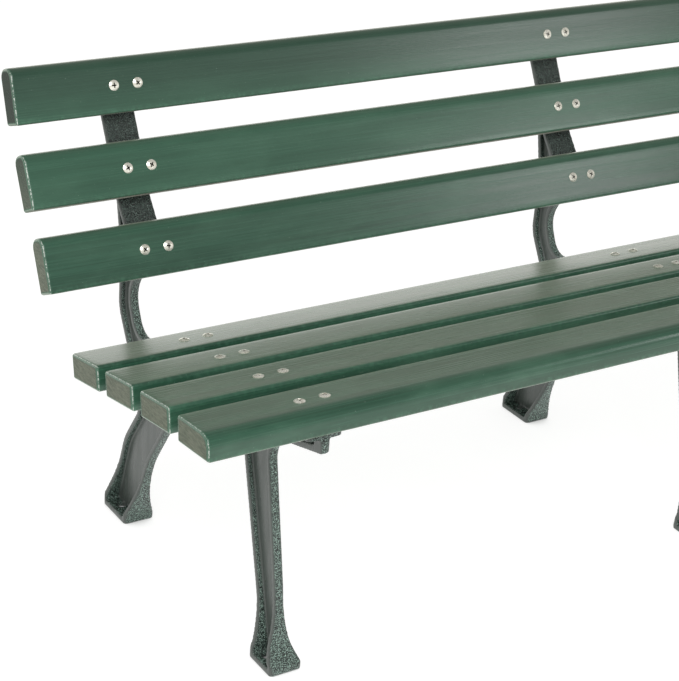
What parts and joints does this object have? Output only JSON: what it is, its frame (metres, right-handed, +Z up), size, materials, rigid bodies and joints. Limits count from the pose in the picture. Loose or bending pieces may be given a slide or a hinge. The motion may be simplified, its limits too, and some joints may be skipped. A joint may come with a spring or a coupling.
{
  "type": "garden bench",
  "caption": "Straight park bench with a raked slatted back and a slatted seat, painted timber boards bolted to cast frames with splayed legs and flared feet.",
  "frame": {"origin": "centre of the bench's footprint box, at ground level", "axes": "+X along the slats towards the sitter's left, +Y from the front to the back, +Z up"},
  "size_m": [1.986, 0.6721, 0.7429],
  "materials": {
    "painted_timber": "satin-gloss paint over timber, fine grain showing",
    "painted_casting": "dark paint over a rough casting, half-gloss",
    "stainless": "plain stainless steel"
  },
  "bodies": {
    "root": {"left_frame": "painted_casting", "middle_frame": "painted_casting", "right_frame": "painted_casting", "back_slat_top": "painted_timber", "back_slat_middle": "painted_timber", "back_slat_bottom": "painted_timber", "seat_slat_front": "painted_timber", "seat_slat_middle_front": "painted_timber", "seat_slat_middle_rear": "painted_timber", "seat_slat_rear": "painted_timber", "back_slat_top_bolts": "stainless", "back_slat_middle_bolts": "stainless", "back_slat_bottom_bolts": "stainless", "seat_slat_front_bolts": "stainless", "seat_slat_middle_front_bolts": "stainless", "seat_slat_middle_rear_bolts": "stainless", "seat_slat_rear_bolts": "stainless", "back_slat_top_washers": "stainless", "back_slat_middle_washers": "stainless", "back_slat_bottom_washers": "stainless", "seat_slat_front_washers": "stainless", "seat_slat_middle_front_washers": "stainless", "seat_slat_middle_rear_washers": "stainless", "seat_slat_rear_washers": "stainless", "back_slat_top_nuts": "stainless", "back_slat_middle_nuts": "stainless", "back_slat_bottom_nuts": "stainless", "seat_slat_front_nuts": "stainless", "seat_slat_middle_front_nuts": "stainless", "seat_slat_middle_rear_nuts": "stainless", "seat_slat_rear_nuts": "stainless"}
  },
  "joints": []
}
